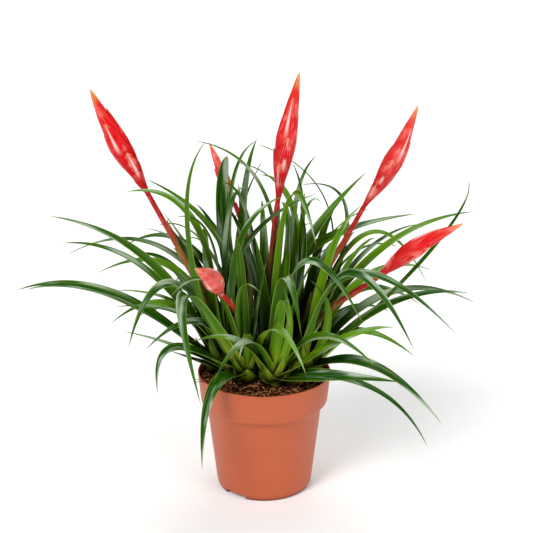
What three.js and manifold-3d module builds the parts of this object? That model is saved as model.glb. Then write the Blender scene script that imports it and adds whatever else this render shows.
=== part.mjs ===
// A flaming sword bromeliad (Vriesea): seven leaf rosettes and six red swords in a round plastic pot.
// Millimetres, +Z up, +Y away from the front. The origin is the centre of the pot's foot, on the
// surface that it stands on.
import * as THREE from "three";
import { mergeVertices } from "three/addons/utils/BufferGeometryUtils.js";
import Module from "manifold-3d";

const wasm = await Module();
wasm.setup();

// ---- driving dimensions ----
const gap = 0.3; // between pieces that touch
const pot = {
  height: 111,
  rimRadius: 60, // outside, at the top edge
  bandFootRadius: 57.4, // outside, at the foot of the rim band
  bandFootZ: 84,
  bodyTopRadius: 52,
  bodyTopZ: 79.5,
  bodyFootRadius: 44.3,
  bodyFootZ: 12,
  footRadius: 41.8,
  wall: 1.5,
  plateRadius: 29, // the flat plate in the middle of the base that the pot stands on
  footRing: 3, // width of the ring round the base that it also stands on
  grooveHeight: 3.5, // of the groove between the two, with the drain holes in its roof
  grooveSlope: 2,
  sides: 36,
};
const drainNotch = { bearings: [232, 352, 112], width: 21, height: 3.2, depth: 8 };
const drainHole = { ring: 34.9, radius: 3, count: 6, sides: 8 };
const soil = { rimZ: 104.5, mound: 2.5, bump: 0.9, rings: 4, sides: 26, holeAbove: 24 };
const crown = {
  stemRadius: 8, // of the short stem that stands in the soil
  footZ: 91,
  waistZ: 110.5,
  domeRadius: 11.5,
  domeZ: 116,
  topZ: 138,
  sides: 8,
};
const holeSides = 16;

// An upright leaf, with a high crest and a short reach, starts higher and nearer the centre.
const leafRoot = { z: 109.5, climb: 8, radius: 7, draw: 2.5, lowCrest: 150, highCrest: 260, farReach: 90 };
const leafThickness = { root: 1.4, tip: 0.8 };
const leafSections = [0, 0.12, 0.29, 0.48, 0.67, 0.86, 1]; // shares of the length
const leafBroader = 1.1; // than the width listed below
const leafTaper = { short: 70, long: 200, shortPower: 1.25, longPower: 1.9, power: 0.95 };
const leafBase = { extra: 0.55, run: 0.11 }; // shares of the half width and of the length
const leafRoll = { angle: 0.75, full: 0.45, backY: 50 }; // radians, share of the length, mm
const fold = 0.32; // how far an edge stands over the midrib, as a share of the half width
const clasping = 0.3; // share of their length where leaves of one rosette may cross
const clearance = 0.45; // kept between leaves of different rosettes

const scape = { radius: 3.3, neckRadius: 2.5, footZ: 104, rise: 55, sides: 6, steps: 6, room: 0.5 };
const sheathing = {
  count: 4,
  first: 0.3, // share of the stem's length where the lowest starts
  spread: 0.55, // share of it that they are spread over
  length: 24,
  lift: 1.1,
  flare: 1.5,
  sides: 4,
  turn: 0.4, // radians
};
const sword = { bracts: 7, thickness: 0.5, sections: [0, 0.3, 0.7], widestAt: 0.48, stagger: 0.13 };
const swordEnds = { foot: 0.27, footPower: 1.4, tipPower: 0.78 };
const bractRun = { startStep: 0.08, firstEnd: 0.26, endStep: 0.1 }; // shares of the sword's length
// Shares of the sword's half width at the bract's keel and margin, from its foot to its point.
const bractShape = {
  keel: [0.8, 1],
  keelFull: 0.4, // share of the bract's length
  margin: [-0.7, 0.5],
  marginPower: 1.7,
  crease: 0.4, // share of the way from the margin to the keel
  bulge: [1.1, 0.4],
  point: 0.95,
};

// Points nearer than this become one, starting with the first distance that leaves a sound body.
const mergeDistances = [0.15, 0.12, 0.18, 0.1, 0.08, 0.05, 0.03, 0.01];

const colours = {
  pot: 0xc96a48,
  soil: 0x2c1b12,
  leaf: 0x2f6b14,
  scape: 0xb5532f,
  sword: 0xd8202a,
};

// Each rosette: where it stands, its leaves as [crest x, y, z, tip x, y, z, width], the crest being
// the middle of the leaf's arch, the bearings between which more leaves fill it out, and its spike,
// whose sword bows sideways. Bearings are in degrees, anticlockwise from +X.
const rosettes = [
  {
    name: "front_left",
    at: [-16, -12],
    leaves: [
      [-45, -66, 118, -53, -88, 55, 12],
      [-74, -62, 215, -112, -95, 170, 11],
      [-66, -72, 209, -52, -104, 123, 11],
      [-78, -45, 151, -91, -66, 116, 10],
      [-23, -22, 228, 17, -16, 279, 10],
      [-22, -15, 221, 47, 0, 277, 7],
      [-7, -22, 170, 2, -18, 220, 8],
      [-14, -46, 163, -22, -58, 144, 8],
      [-21, -40, 197, -2, -58, 205, 6],
      [-69, -30, 143, -121, -42, 165, 6],
    ],
    fill: { from: 190, to: 310, count: 4 },
    spike: { neck: [-35, -60, 205], tip: [-54, -132, 254], width: 17, bow: 3.5, faces: [0.71, -0.55, -0.43] },
  },
  {
    name: "front",
    at: [8, -18],
    leaves: [
      [57, -44, 124, 117, -62, 126, 15],
      [33, -48, 229, 84, -78, 183, 10],
      [17, -55, 217, 31, -80, 177, 12],
      [68, -50, 161, 110, -58, 175, 10],
      [22, -44, 167, 16, -58, 211, 12],
      [-21, -48, 158, -61, -58, 162, 9],
      [11, -30, 161, 11, -32, 199, 8],
      [90, -62, 122, 139, -92, 79, 6],
    ],
    fill: { from: 220, to: 350, count: 4 },
  },
  {
    name: "right",
    at: [33, -2],
    leaves: [
      [92, -44, 135, 152, -80, 95, 11],
      [69, -58, 223, 125, -90, 166, 11],
      [75, -34, 214, 164, -58, 168, 10],
      [146, -12, 230, 173, -20, 293, 9],
      [106, 2, 182, 187, -8, 178, 9],
      [105, -26, 182, 177, -40, 199, 9],
      [56, -26, 171, 39, -30, 208, 8],
    ],
    fill: { from: -30, to: 60, count: 4 },
    spike: { neck: [97, -26, 208], tip: [168, -45, 264], width: 20, bow: -4.4, faces: [0.1, -1, 0.25] },
  },
  {
    name: "left",
    at: [-38, 10],
    leaves: [
      [-131, -16, 190, -214, -30, 198, 11],
      [-125, -38, 194, -201, -56, 208, 11],
      [-99, 0, 212, -186, -6, 258, 10],
      [-101, -14, 210, -174, -24, 239, 8],
      [-59, -6, 247, -117, -18, 283, 9],
      [-44, -8, 228, -75, -16, 260, 7],
      [-66, -22, 254, -49, -14, 326, 6],
      [-79, 22, 198, -150, 20, 196, 9],
      [-47, 26, 173, -91, 30, 252, 9],
      [-65, -32, 173, -127, -48, 190, 8],
      [-53, -10, 123, -88, -18, 142, 11],
      [-32, 8, 243, -15, 14, 277, 7],
      [-72, 12, 166, -136, 6, 185, 6],
      [-63, 30, 201, -108, 40, 232, 5],
      [-52, 26, 212, -52, 30, 235, 9],
    ],
    fill: { from: 110, to: 200, count: 4 },
    spike: { neck: [-100, -3, 277], tip: [-146, -8, 371], width: 20, bow: -1.2, faces: [-0.15, -1, 0.1] },
  },
  {
    name: "back_left",
    at: [-14, 36],
    leaves: [
      [-37, 42, 234, -33, 50, 297, 12],
      [-19, 44, 243, -6, 46, 314, 9],
      [-30, 34, 253, -7, 34, 315, 8],
      [-37, 26, 219, -104, 20, 284, 10],
      [-89, 44, 210, -180, 38, 207, 6],
      [-26, 62, 187, -54, 78, 233, 6],
      [-46, 52, 198, -72, 66, 213, 6],
      [-25, 58, 211, -1, 74, 287, 5],
    ],
    fill: { from: 70, to: 190, count: 8 },
    spike: { neck: [-27, 59, 250], tip: [-51, 88, 300], width: 12, bow: 0, faces: [0.75, -0.6, 0] },
  },
  {
    name: "middle",
    at: [6, 12],
    leaves: [
      [4, 10, 262, -59, 0, 323, 6],
      [24, -12, 273, 50, -34, 238, 10],
      [-2, -6, 190, -8, -16, 242, 15],
      [0, 24, 217, -2, 34, 261, 10],
      [-13, 14, 243, -37, 10, 285, 7],
      [34, 16, 234, 24, 14, 300, 7],
      [18, -2, 215, 15, 4, 264, 9],
      [27, 12, 210, 23, 20, 265, 9],
      [35, 4, 207, 31, 6, 263, 9],
      [31, 26, 235, 50, 34, 259, 5],
    ],
    fill: { from: 30, to: 150, count: 6 },
    spike: { neck: [12, 4, 269], tip: [30, 8, 382], width: 20, bow: -1.8, faces: [0.1, -1, 0.1] },
  },
  {
    name: "back_right",
    at: [30, 32],
    leaves: [
      [28, 20, 199, 91, 24, 288, 11],
      [33, 34, 203, 136, 20, 250, 11],
      [99, 20, 214, 186, 14, 256, 9],
      [50, 62, 199, 98, 80, 239, 9],
      [88, 30, 228, 147, 26, 185, 6],
      [72, 8, 204, 98, 6, 234, 9],
      [75, 46, 238, 33, 46, 271, 6],
      [83, 34, 202, 141, 44, 235, 6],
      [29, 42, 240, 52, 54, 295, 6],
      [61, 58, 236, -7, 62, 305, 5],
      [27, 50, 240, -25, 60, 288, 5],
      [29, 44, 241, -2, 50, 281, 8],
    ],
    fill: { from: 0, to: 110, count: 8 },
    spike: { neck: [88, 26, 256], tip: [133, 18, 351], width: 20, bow: 4, faces: [0.1, -1, 0.15] },
  },
];

// The leaves that fill a rosette out come in three turns: low and wide, arching, and upright.
const fillTurns = [
  { reach: 112, crestZ: 162, tipZ: 146, width: 10 },
  { reach: 122, crestZ: 200, tipZ: 208, width: 9 },
  { reach: 56, crestZ: 208, tipZ: 256, width: 9 },
];
const fillScatter = { bearing: 16, reach: 0.3, height: 26 };
const fillSeed = 130;

// Where a leaf would touch a neighbour it is swung sideways or lifted, by the fewest steps first.
const bendStep = { crestSwing: 4, tipSwing: 7, lift: 6 };
const bends = [0, 1, -1]
  .flatMap((lifts) => [0, 1, -1, 2, -2, 3, -3, 4, -4, 5, -5, 6, -6].map((swings) => ({ swings, lifts })))
  .sort((a, b) => Math.abs(a.swings) + 2 * Math.abs(a.lifts) - Math.abs(b.swings) - 2 * Math.abs(b.lifts));

// ---- helpers ----
const vec = (x, y, z) => new THREE.Vector3(x, y, z);
const radians = (degrees) => (degrees * Math.PI) / 180;
const clamp = (x) => Math.min(1, Math.max(0, x));
const mix = (a, b, t) => a + (b - a) * t;

// A repeatable draw between 0 and 1.
function makeRandom(seed) {
  let state = seed;
  return () => {
    state = (state * 1664525 + 1013904223) % 4294967296;
    return state / 4294967296;
  };
}

function solidOf(geometry) {
  const bare = geometry.index ? geometry.toNonIndexed() : geometry.clone();
  for (const name of Object.keys(bare.attributes)) {
    if (name !== "position") bare.deleteAttribute(name);
  }
  const merged = mergeVertices(bare, 1e-3);
  const mesh = new wasm.Mesh({
    numProp: 3,
    vertProperties: merged.attributes.position.array,
    triVerts: new Uint32Array(merged.index.array),
  });
  return new wasm.Manifold(mesh);
}

function geometryOf(solid) {
  const mesh = solid.getMesh();
  const positions = new Float32Array(mesh.numVert * 3);
  for (let i = 0; i < mesh.numVert; i++) {
    positions.set(mesh.vertProperties.subarray(i * mesh.numProp, i * mesh.numProp + 3), i * 3);
  }
  const geometry = new THREE.BufferGeometry()
    .setAttribute("position", new THREE.BufferAttribute(positions, 3))
    .setIndex(new THREE.BufferAttribute(new Uint32Array(mesh.triVerts), 1));
  geometry.computeVertexNormals();
  return geometry;
}

// Whether each edge lies between just two faces.
function isPlain(solid) {
  const geometry = mergeVertices(geometryOf(solid).deleteAttribute("normal"), 1e-3);
  const index = geometry.index.array;
  const uses = new Map();
  for (let i = 0; i < index.length; i++) {
    const next = i % 3 === 2 ? index[i - 2] : index[i + 1];
    const key = Math.min(index[i], next) + "_" + Math.max(index[i], next);
    uses.set(key, (uses.get(key) ?? 0) + 1);
  }
  return [...uses.values()].every((count) => count === 2);
}

// The outer shell of the largest body: sealed hollows are filled and loose scraps dropped.
function largestBody(solid) {
  for (const distance of mergeDistances) {
    const whole = solid.asOriginal().simplify(distance);
    const body = whole.decompose().reduce((a, b) => (b.volume() > a.volume() ? b : a));
    if (isPlain(body)) return body;
  }
  throw new Error("two faces of one body touch");
}

const union = (solids) => wasm.Manifold.union(solids);

// A closed skin over rings of points, each ring anticlockwise seen from the far end. A last ring
// of one point closes the skin in a tip.
function loft(rings) {
  const positions = rings.flat().flatMap((p) => [p.x, p.y, p.z]);
  const sides = rings[0].length;
  const start = (ring) => ring * sides;
  const index = [];
  rings.slice(0, -1).forEach((ring, r) => {
    const toTip = rings[r + 1].length === 1;
    for (let s = 0; s < sides; s++) {
      const a = start(r) + s;
      const b = start(r) + ((s + 1) % sides);
      if (toTip) {
        index.push(a, b, start(r + 1));
      } else {
        const c = start(r + 1) + s;
        const d = start(r + 1) + ((s + 1) % sides);
        // The diagonal always leaves the midrib, so both faces of a blade are split alike.
        if (s % 2 === 0) index.push(a, b, c, b, d, c);
        else index.push(a, b, d, a, d, c);
      }
    }
  });
  const cap = (first, turned) => {
    for (let s = 1; s < sides - 1; s++) {
      index.push(first, first + (turned ? s + 1 : s), first + (turned ? s : s + 1));
    }
  };
  cap(0, true);
  if (rings.at(-1).length > 1) cap(start(rings.length - 1), false);
  const geometry = new THREE.BufferGeometry()
    .setAttribute("position", new THREE.Float32BufferAttribute(positions, 3))
    .setIndex(index);
  return solidOf(geometry);
}

// ---- pot ----
function potProfile() {
  const { wall } = pot;
  return [
    [0, 0],
    [pot.plateRadius, 0],
    [pot.plateRadius + pot.grooveSlope, pot.grooveHeight],
    [pot.footRadius - pot.footRing, pot.grooveHeight],
    [pot.footRadius - pot.footRing, 0],
    [pot.footRadius, 0],
    [mix(pot.footRadius, pot.bodyFootRadius, 0.7), 5],
    [pot.bodyFootRadius, pot.bodyFootZ],
    [pot.bodyTopRadius, pot.bodyTopZ],
    [pot.bandFootRadius, pot.bandFootZ],
    [pot.rimRadius, pot.height],
    [pot.rimRadius - wall, pot.height],
    [pot.bandFootRadius - wall, pot.bandFootZ],
    [pot.bodyTopRadius - wall, pot.bodyTopZ],
    [pot.bodyFootRadius - wall, pot.bodyFootZ],
    [pot.footRadius - wall, pot.grooveHeight + wall],
    [pot.plateRadius + pot.grooveSlope - 1, pot.grooveHeight + wall],
    [pot.plateRadius - 1, wall],
    [0, wall],
  ].map(([r, z]) => new THREE.Vector2(r, z));
}

function lathe(profile, sides) {
  return new THREE.LatheGeometry(profile, sides).rotateX(Math.PI / 2);
}

function makePot() {
  let body = solidOf(lathe(potProfile(), pot.sides));
  const notch = new THREE.BoxGeometry(drainNotch.depth, drainNotch.width, 2 * drainNotch.height);
  for (const bearing of drainNotch.bearings) {
    const cutter = notch.clone().translate(pot.footRadius, 0, 0).rotateZ(radians(bearing));
    body = body.subtract(solidOf(cutter));
  }
  const { radius, sides } = drainHole;
  const bore = new THREE.CylinderGeometry(radius, radius, 12, sides).rotateX(Math.PI / 2);
  for (let i = 0; i < drainHole.count; i++) {
    const hole = bore.clone().translate(drainHole.ring, 0, pot.grooveHeight);
    body = body.subtract(solidOf(hole.rotateZ(radians((360 * i) / drainHole.count))));
  }
  return body;
}

// ---- soil ----
function soilTop(x, y) {
  const share = Math.hypot(x, y) / (pot.rimRadius - pot.wall);
  const bumps = Math.sin(0.33 * x + 1) * Math.cos(0.29 * y) + 0.6 * Math.sin(0.61 * y - 0.47 * x);
  return soil.rimZ + soil.mound * (1 - share * share) + (soil.bump * bumps) / 1.6;
}

function makeSoil() {
  const inset = pot.wall + gap;
  const grooveTop = pot.grooveHeight + pot.wall + gap;
  const rimShare = (soil.rimZ - pot.bandFootZ) / (pot.height - pot.bandFootZ);
  const edge = mix(pot.bandFootRadius, pot.rimRadius, rimShare) - inset;
  const profile = [
    [0, pot.wall + gap],
    [pot.plateRadius - 1 - gap, pot.wall + gap],
    [pot.plateRadius + pot.grooveSlope - 1 - gap, grooveTop],
    [pot.footRadius - inset, grooveTop],
    [pot.bodyFootRadius - inset, pot.bodyFootZ],
    [pot.bodyTopRadius - inset, pot.bodyTopZ],
    [pot.bandFootRadius - inset, pot.bandFootZ],
  ].map(([r, z]) => new THREE.Vector2(r, z));
  for (let i = 0; i <= soil.rings; i++) {
    profile.push(new THREE.Vector2(edge * (1 - i / soil.rings), soil.rimZ));
  }
  const geometry = lathe(profile, soil.sides);
  const position = geometry.attributes.position;
  for (let i = 0; i < position.count; i++) {
    if (position.getZ(i) > soil.rimZ - 1) {
      position.setZ(i, soilTop(position.getX(i), position.getY(i)));
    }
  }
  let body = solidOf(geometry);
  for (const { at } of rosettes) {
    const radius = crown.stemRadius + gap;
    const depth = soil.rimZ + soil.holeAbove - crown.footZ + gap;
    const hole = new THREE.CylinderGeometry(radius, radius, depth, holeSides).rotateX(Math.PI / 2);
    hole.translate(at[0], at[1], crown.footZ - gap + depth / 2);
    body = body.subtract(solidOf(hole));
  }
  return body;
}

// ---- leaves ----
// Half the width along the leaf: a broad clasping base and a blade that narrows to a fine tip,
// sooner on a short leaf than on a long one.
function halfWidth(leaf, t) {
  const { short, long, shortPower, longPower, power } = leafTaper;
  const length = leaf.root.distanceTo(leaf.crest) + leaf.crest.distanceTo(leaf.tip);
  const even = mix(shortPower, longPower, clamp((length - short) / (long - short)));
  const blade = Math.pow(1 - Math.pow(t, even), power);
  const base = leafBase.extra * Math.exp(-Math.pow(t / leafBase.run, 2));
  return (leaf.width / 2) * (blade + base);
}

// The leaf's centre line: it leaves the crown, passes its crest half way and ends in its tip.
function leafCurve(leaf) {
  const ends = leaf.root.clone().add(leaf.tip);
  const control = leaf.crest.clone().multiplyScalar(2).addScaledVector(ends, -0.5);
  return new THREE.QuadraticBezierCurve3(leaf.root, control, leaf.tip);
}

function makeLeaf(rosette, crest, tip, width) {
  const { z, climb, radius, draw, lowCrest, highCrest, farReach } = leafRoot;
  const centre = vec(rosette.at[0], rosette.at[1], 0);
  const outward = crest.clone().sub(centre).setZ(0);
  const steep = clamp((crest.z - lowCrest) / (highCrest - lowCrest));
  const upright = steep * clamp(1 - outward.length() / farReach);
  outward.normalize();
  const root = centre.addScaledVector(outward, radius - draw * upright);
  root.z = z + climb * upright;
  const across = tip.clone().sub(root).setZ(0).normalize();
  const side = vec(-across.y, across.x, 0);
  // The face turns to the front on the way up, and to the back on the leaves behind.
  const turned = crest.y < leafRoll.backY ? 1 : -1;
  return { root, crest, tip, width: leafBroader * width, side, roll: leafRoll.angle * turned * side.y };
}

// A folded blade with sharp edges, from a share of its length on. Grown by a margin, it shows
// whether a leaf keeps clear.
function blade(leaf, grow = 0, from = 0) {
  const curve = leafCurve(leaf);
  const rings = leafSections.filter((t) => t >= from).map((t) => {
    const centre = curve.getPoint(t);
    if (t === 1) return [centre.addScaledVector(curve.getTangent(1), grow)];
    const along = curve.getTangent(t);
    const side = leaf.side.clone().addScaledVector(along, -leaf.side.dot(along)).normalize();
    side.applyAxisAngle(along, leaf.roll * clamp(t / leafRoll.full));
    const up = along.clone().cross(side);
    const half = halfWidth(leaf, t) + grow;
    const thick = mix(leafThickness.root, leafThickness.tip, t) / 2 + grow;
    const edge = centre.clone().addScaledVector(up, fold * (half - grow));
    return [
      edge.clone().addScaledVector(side, half),
      centre.clone().addScaledVector(up, thick),
      edge.clone().addScaledVector(side, -half),
      centre.clone().addScaledVector(up, -thick),
    ];
  });
  return loft(rings);
}

// Every leaf of a rosette as [crest, tip, width]: those listed, then those that fill it out.
function leafPlan(rosette, number) {
  const plan = rosette.leaves.map((l) => [vec(l[0], l[1], l[2]), vec(l[3], l[4], l[5]), l[6]]);
  const random = makeRandom(fillSeed + number);
  const { from, to, count } = rosette.fill;
  for (let i = 0; i < count; i++) {
    const turn = fillTurns[i % fillTurns.length];
    const bearing = radians(mix(from, to, (i + 0.5) / count) + fillScatter.bearing * (random() - 0.5));
    const reach = turn.reach * (1 + fillScatter.reach * (random() - 0.5));
    const height = fillScatter.height * (random() - 0.5);
    const point = (share, z) =>
      vec(
        rosette.at[0] + share * reach * Math.cos(bearing),
        rosette.at[1] + share * reach * Math.sin(bearing),
        z + height,
      );
    plan.push([point(0.45, turn.crestZ), point(1, turn.tipZ), turn.width]);
  }
  return plan;
}

function bentLeaf(rosette, [crest, tip, width], { swings, lifts }) {
  const { side } = makeLeaf(rosette, crest, tip, width);
  const lift = vec(0, 0, lifts * bendStep.lift);
  const move = (point, swing) => point.clone().addScaledVector(side, swings * swing).add(lift);
  return makeLeaf(rosette, move(crest, bendStep.crestSwing), move(tip, bendStep.tipSwing), width);
}

// ---- spikes ----
function scapeCurve(rosette) {
  const [x, y] = rosette.at;
  const neck = vec(...rosette.spike.neck);
  const lean = vec(...rosette.spike.tip).sub(neck).normalize();
  return new THREE.CubicBezierCurve3(
    vec(x, y, scape.footZ),
    vec(x, y, scape.footZ + scape.rise),
    neck.clone().addScaledVector(lean, -scape.rise),
    neck,
  );
}

function ringAround(centre, along, radius, sides, turn = 0) {
  const across = vec(0, 1, 0).cross(along).normalize();
  const away = along.clone().cross(across);
  return Array.from({ length: sides }, (_, s) => {
    const angle = turn + (2 * Math.PI * s) / sides;
    return centre
      .clone()
      .addScaledVector(across, radius * Math.cos(angle))
      .addScaledVector(away, radius * Math.sin(angle));
  });
}

function scapeStem(rosette, grow) {
  const curve = scapeCurve(rosette);
  const rings = [];
  for (let i = 0; i <= scape.steps; i++) {
    const t = i / scape.steps;
    const radius = mix(scape.radius, scape.neckRadius, t) + grow;
    const along = curve.getTangent(t);
    const end = i === 0 ? -grow : 0;
    rings.push(ringAround(curve.getPoint(t).addScaledVector(along, end), along, radius, scape.sides));
  }
  return loft(rings);
}

// A pointed sheath that clasps the stem. Each is turned half way round from the one below.
function stemSheath(rosette, number, grow) {
  const { count, first, spread, length, lift, flare, sides, turn } = sheathing;
  const curve = scapeCurve(rosette);
  const start = first + (spread * number) / count;
  const end = start + length / curve.getLength();
  const middle = mix(start, end, 0.45);
  const along = curve.getTangent(start);
  const side = vec(0, 1, 0).cross(along).normalize().multiplyScalar(number % 2 ? 1 : -1);
  const radius = mix(scape.radius, scape.neckRadius, start) + lift + grow;
  const foot = curve.getPoint(start).addScaledVector(along, -grow);
  const belly = curve.getPoint(middle).addScaledVector(side, lift / 2);
  const tip = curve.getPoint(end).addScaledVector(side, radius + flare).addScaledVector(along, 3 * grow);
  return loft([
    ringAround(foot, along, radius - lift / 2, sides, turn),
    ringAround(belly, curve.getTangent(middle), radius, sides, turn),
    [tip],
  ]);
}

function makeScape(rosette, grow = 0) {
  const parts = [scapeStem(rosette, grow)];
  for (let i = 0; i < sheathing.count; i++) parts.push(stemSheath(rosette, i, grow));
  return union(parts);
}

// The sword's half width along its length, as a share of its widest.
function swordOutline(t) {
  const { foot, footPower, tipPower } = swordEnds;
  const { widestAt } = sword;
  if (t < widestAt) return mix(foot, 1, Math.pow(Math.sin((Math.PI / 2) * (t / widestAt)), footPower));
  return Math.pow((1 - t) / (1 - widestAt), tipPower);
}

// One bract: a keeled boat that clasps the sword from one side and ends in a point.
function bract(frame, number) {
  const { base, along, wide, deep, length, half, bow } = frame;
  const last = number === sword.bracts - 1;
  const start = bractRun.startStep * number;
  const end = last ? 1 : bractRun.firstEnd + bractRun.endStep * number;
  const turned = number % 2 ? 1 : -1;
  const place = (t, across, out) =>
    base
      .clone()
      .addScaledVector(along, t * length)
      .addScaledVector(wide, turned * across + bow * Math.sin(Math.PI * t))
      .addScaledVector(deep, turned * out + sword.stagger * ((number % 3) - 1));
  const rings = sword.sections.map((q) => {
    const t = mix(start, end, q);
    const outline = half * swordOutline(t);
    const keel = outline * mix(...bractShape.keel, clamp(q / bractShape.keelFull));
    const margin = outline * mix(...bractShape.margin, Math.pow(q, bractShape.marginPower));
    const crease = mix(margin, keel, bractShape.crease);
    const thick = outline * sword.thickness * mix(...bractShape.bulge, q * q);
    return [place(t, keel, 0), place(t, crease, thick), place(t, margin, 0), place(t, crease, -thick)];
  });
  rings.push([place(end, last ? 0 : bractShape.point * half * swordOutline(end), 0)]);
  return loft(rings);
}

function makeSword(rosette) {
  const { neck, tip, width, bow, faces } = rosette.spike;
  const along = vec(...tip).sub(vec(...neck));
  const length = along.length() - gap;
  along.normalize();
  const wide = along.clone().cross(vec(...faces)).normalize();
  const deep = along.clone().cross(wide);
  const base = vec(...neck).addScaledVector(along, gap);
  const frame = { base, along, wide, deep, length, half: width / 2, bow };
  const bracts = [];
  for (let i = 0; i < sword.bracts; i++) bracts.push(bract(frame, i));
  return largestBody(union(bracts));
}

// ---- rosettes ----
function makeCrown(rosette) {
  const profile = [
    [0, crown.footZ],
    [crown.stemRadius, crown.footZ],
    [crown.stemRadius, crown.waistZ],
    [crown.domeRadius, crown.domeZ],
    [crown.domeRadius - 2, mix(crown.domeZ, crown.topZ, 0.55)],
    [0, crown.topZ],
  ].map(([r, z]) => new THREE.Vector2(r, z));
  return solidOf(lathe(profile, crown.sides).translate(rosette.at[0], rosette.at[1], 0));
}

function boxesMeet(a, b) {
  return [0, 1, 2].every((k) => a.min[k] <= b.max[k] && b.min[k] <= a.max[k]);
}

function isClear(solid, others) {
  const box = solid.boundingBox();
  return others.every((other) => !boxesMeet(box, other.box) || solid.intersect(other.solid).isEmpty());
}

const boxed = (solid, of) => ({ solid, box: solid.boundingBox(), of });

// The least bent leaf that keeps clear of the other pieces, and of its own rosette's leaves too if
// there is one.
function findRoom(rosette, planned, others, ownScape, siblings) {
  const fits = bends
    .map((bend) => bentLeaf(rosette, planned, bend))
    .filter((leaf) => isClear(blade(leaf, clearance), others))
    .filter((leaf) => isClear(blade(leaf, clearance, clasping), ownScape));
  return fits.find((leaf) => isClear(blade(leaf, 0, clasping), siblings)) ?? fits[0];
}

// Grows the listed leaves of every rosette and then the others. One with no room is left out.
function growLeaves(pieces, scapes) {
  const blades = [];
  const grow = (rosette, planned) => {
    const siblings = blades.filter((blade) => blade.of === rosette.name);
    const others = [...pieces, ...scapes, ...blades].filter((piece) => piece.of !== rosette.name);
    const ownScape = scapes.filter((piece) => piece.of === rosette.name);
    const leaf = findRoom(rosette, planned, others, ownScape, siblings);
    if (leaf) blades.push(boxed(blade(leaf), rosette.name));
  };
  const plans = rosettes.map(leafPlan);
  rosettes.forEach((rosette, r) => {
    plans[r].slice(0, rosette.leaves.length).forEach((planned) => grow(rosette, planned));
  });
  rosettes.forEach((rosette, r) => {
    plans[r].slice(rosette.leaves.length).forEach((planned) => grow(rosette, planned));
  });
  return blades;
}

function makeRosette(rosette, blades) {
  const leaves = blades.filter((blade) => blade.of === rosette.name);
  const body = union([makeCrown(rosette), ...leaves.map((leaf) => leaf.solid)]);
  if (!rosette.spike) return largestBody(body);
  return largestBody(body.subtract(makeScape(rosette, scape.room)));
}

// ---- assembly ----
function meshOf(name, solid, colour, roughness) {
  const material = new THREE.MeshStandardMaterial({ color: colour, roughness, metalness: 0 });
  const mesh = new THREE.Mesh(geometryOf(solid), material);
  mesh.name = name;
  return mesh;
}

const potSolid = makePot();
const soilSolid = makeSoil();
const spiked = rosettes.filter((rosette) => rosette.spike);
const scapes = spiked.map((rosette) => boxed(largestBody(makeScape(rosette)), rosette.name));
const swords = spiked.map((rosette) => boxed(makeSword(rosette)));
const crowns = rosettes.map((rosette) => boxed(makeCrown(rosette), rosette.name));
const blades = growLeaves([boxed(potSolid), boxed(soilSolid), ...swords, ...crowns], scapes);

const plant = new THREE.Group();
plant.add(meshOf("pot", potSolid, colours.pot, 0.55));
plant.add(meshOf("soil", soilSolid, colours.soil, 0.95));
for (const rosette of rosettes) {
  plant.add(meshOf("rosette_" + rosette.name, makeRosette(rosette, blades), colours.leaf, 0.4));
}
spiked.forEach((rosette, i) => {
  plant.add(meshOf("scape_" + rosette.name, scapes[i].solid, colours.scape, 0.5));
  plant.add(meshOf("sword_" + rosette.name, swords[i].solid, colours.sword, 0.35));
});

export default plant;
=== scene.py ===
"""Looks of the potted flaming sword bromeliad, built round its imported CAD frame.

Lengths are millimetres, as in the part's source, and become metres where a mesh is made. Leaves, stems
and flower heads follow the same few points as in that source, in finer shapes.
"""

import math
from types import SimpleNamespace as Values

import bpy
import numpy as np
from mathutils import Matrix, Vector, kdtree


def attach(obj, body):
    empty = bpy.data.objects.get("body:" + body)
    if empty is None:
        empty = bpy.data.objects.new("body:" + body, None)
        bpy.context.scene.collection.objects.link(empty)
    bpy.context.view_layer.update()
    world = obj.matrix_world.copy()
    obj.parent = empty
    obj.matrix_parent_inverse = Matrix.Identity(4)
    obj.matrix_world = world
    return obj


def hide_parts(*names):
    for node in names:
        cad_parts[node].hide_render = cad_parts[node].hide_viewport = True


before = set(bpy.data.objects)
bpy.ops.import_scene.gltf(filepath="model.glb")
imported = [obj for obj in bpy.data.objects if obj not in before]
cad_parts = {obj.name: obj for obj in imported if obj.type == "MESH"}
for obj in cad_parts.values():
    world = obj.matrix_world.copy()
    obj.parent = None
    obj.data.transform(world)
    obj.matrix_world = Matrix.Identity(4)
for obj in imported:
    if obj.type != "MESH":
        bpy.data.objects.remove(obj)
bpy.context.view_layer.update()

MM = 0.001

# ---- the part's own dimensions, as in its source ----
GAP = 0.3
POT = Values(
    height=111, rim_radius=60, band_foot_radius=57.4, band_foot_z=84, body_top_radius=52, body_top_z=79.5,
    body_foot_radius=44.3, body_foot_z=12, foot_radius=41.8, foot_ring=3, wall=1.5, plate_radius=29,
    plate_inset=1, groove_height=3.5, groove_slope=2,
)
DRAIN_NOTCH = Values(bearings=(232, 352, 112), width=21, depth=8)
DRAIN_HOLE = Values(ring=34.9, radius=3, count=6)
SOIL = Values(rim_z=104.5, mound=2.5, bump=0.9)
CROWN = Values(stem_radius=8, foot_z=91, waist_z=110.5, dome_radius=11.5, dome_z=116, top_z=138)

LEAF_ROOT = Values(z=109.5, climb=8, radius=7, draw=2.5, low_crest=150, high_crest=260, far_reach=90)
LEAF_THICKNESS = (1.4, 0.8)
LEAF_BROADER = 1.1
LEAF_TAPER = Values(short=70, long=200, short_power=1.25, long_power=1.9, power=0.95)
LEAF_BASE = Values(extra=0.55, run=0.11)
LEAF_ROLL = Values(angle=0.75, full=0.45, back_y=50)

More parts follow.
